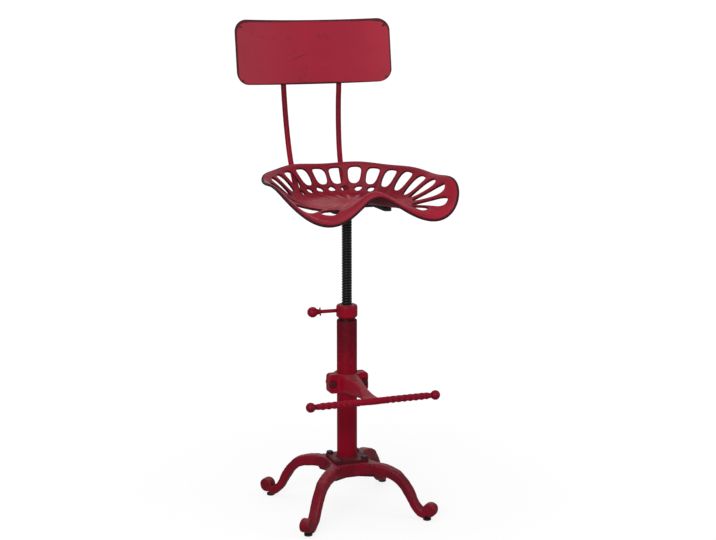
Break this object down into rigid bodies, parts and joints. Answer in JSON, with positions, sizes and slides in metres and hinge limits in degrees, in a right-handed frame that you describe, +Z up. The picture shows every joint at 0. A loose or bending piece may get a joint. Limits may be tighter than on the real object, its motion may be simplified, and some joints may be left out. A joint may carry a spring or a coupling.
{
  "type": "tractor seat stool",
  "caption": "Swivel stool with a pierced tractor-style pan on a threaded column, a curved back panel on rods, scroll-footed legs and a clamp-on footrest.",
  "frame": {"origin": "on the floor under the middle of the bounding box; the screw's axis runs through x = 0, about 18 mm in front of the origin", "axes": "+Z up, +Y towards the back panel, +X to the right of someone who looks along +Y from the front; a sitter faces -Y"},
  "size_m": [0.3934, 0.4762, 1.0505],
  "materials": {
    "red_paint": "semi-gloss antique red with dark rubbed edges",
    "black_steel": "black oxide",
    "black_rubber": "matt black"
  },
  "bodies": {
    "stand": {"base_plate": "red_paint", "column_flange": "red_paint", "column_tube": "red_paint", "column_nut": "black_steel", "leg_back_right": "red_paint", "leg_back_left": "red_paint", "leg_front_left": "red_paint", "leg_front_right": "red_paint", "foot_pad_back_right": "black_rubber", "foot_pad_back_left": "black_rubber", "foot_pad_front_left": "black_rubber", "foot_pad_front_right": "black_rubber", "leg_bolt_back_right": "black_steel", "leg_bolt_back_left": "black_steel", "leg_bolt_front_left": "black_steel", "leg_bolt_front_right": "black_steel"},
    "lock": {"lock_ring": "red_paint", "lock_handle": "red_paint"},
    "footrest": {"footrest_clamp_front": "red_paint", "footrest_clamp_rear": "red_paint", "footrest_bar": "red_paint", "footrest_ball_left": "red_paint", "footrest_ball_right": "red_paint", "clamp_bolt_left": "black_steel", "clamp_bolt_right": "black_steel", "clamp_nut_left": "black_steel", "clamp_nut_right": "black_steel"},
    "lift": {"screw_stop_washer": "black_steel"},
    "seat": {"lifting_screw": "black_steel", "screw_stop_bolt": "black_steel", "seat_bracket": "black_steel", "seat_pan": "red_paint", "seat_screw_back_right": "red_paint", "seat_screw_back_left": "red_paint", "seat_screw_front_left": "red_paint", "seat_screw_front_right": "red_paint", "back_rod_left": "red_paint", "back_rod_right": "red_paint", "back_panel": "red_paint"}
  },
  "joints": [
    {"name": "lock_turn", "type": "hinge", "parent": "stand", "child": "lock", "pos_m": [0, -0.01819, 0.44], "axis": [0, 0, 1], "range_deg": [0, 90]},
    {"name": "footrest_height", "type": "slide", "parent": "stand", "child": "footrest", "axis": [0, 0, 1], "range_m": [-0.13, 0.1]},
    {"name": "seat_lift", "type": "slide", "parent": "stand", "child": "lift", "axis": [0, 0, 1], "range_m": [-0.2, 0.04]},
    {"name": "seat_turn", "type": "hinge", "parent": "lift", "child": "seat", "pos_m": [0, -0.01819, 0.6], "axis": [0, 0, 1], "range_deg": [-12600, 2520]}
  ],
  "couplings": [
    {"joint": "seat_lift", "follows": "seat_turn", "m_per_rad": 0.00090718}
  ]
}
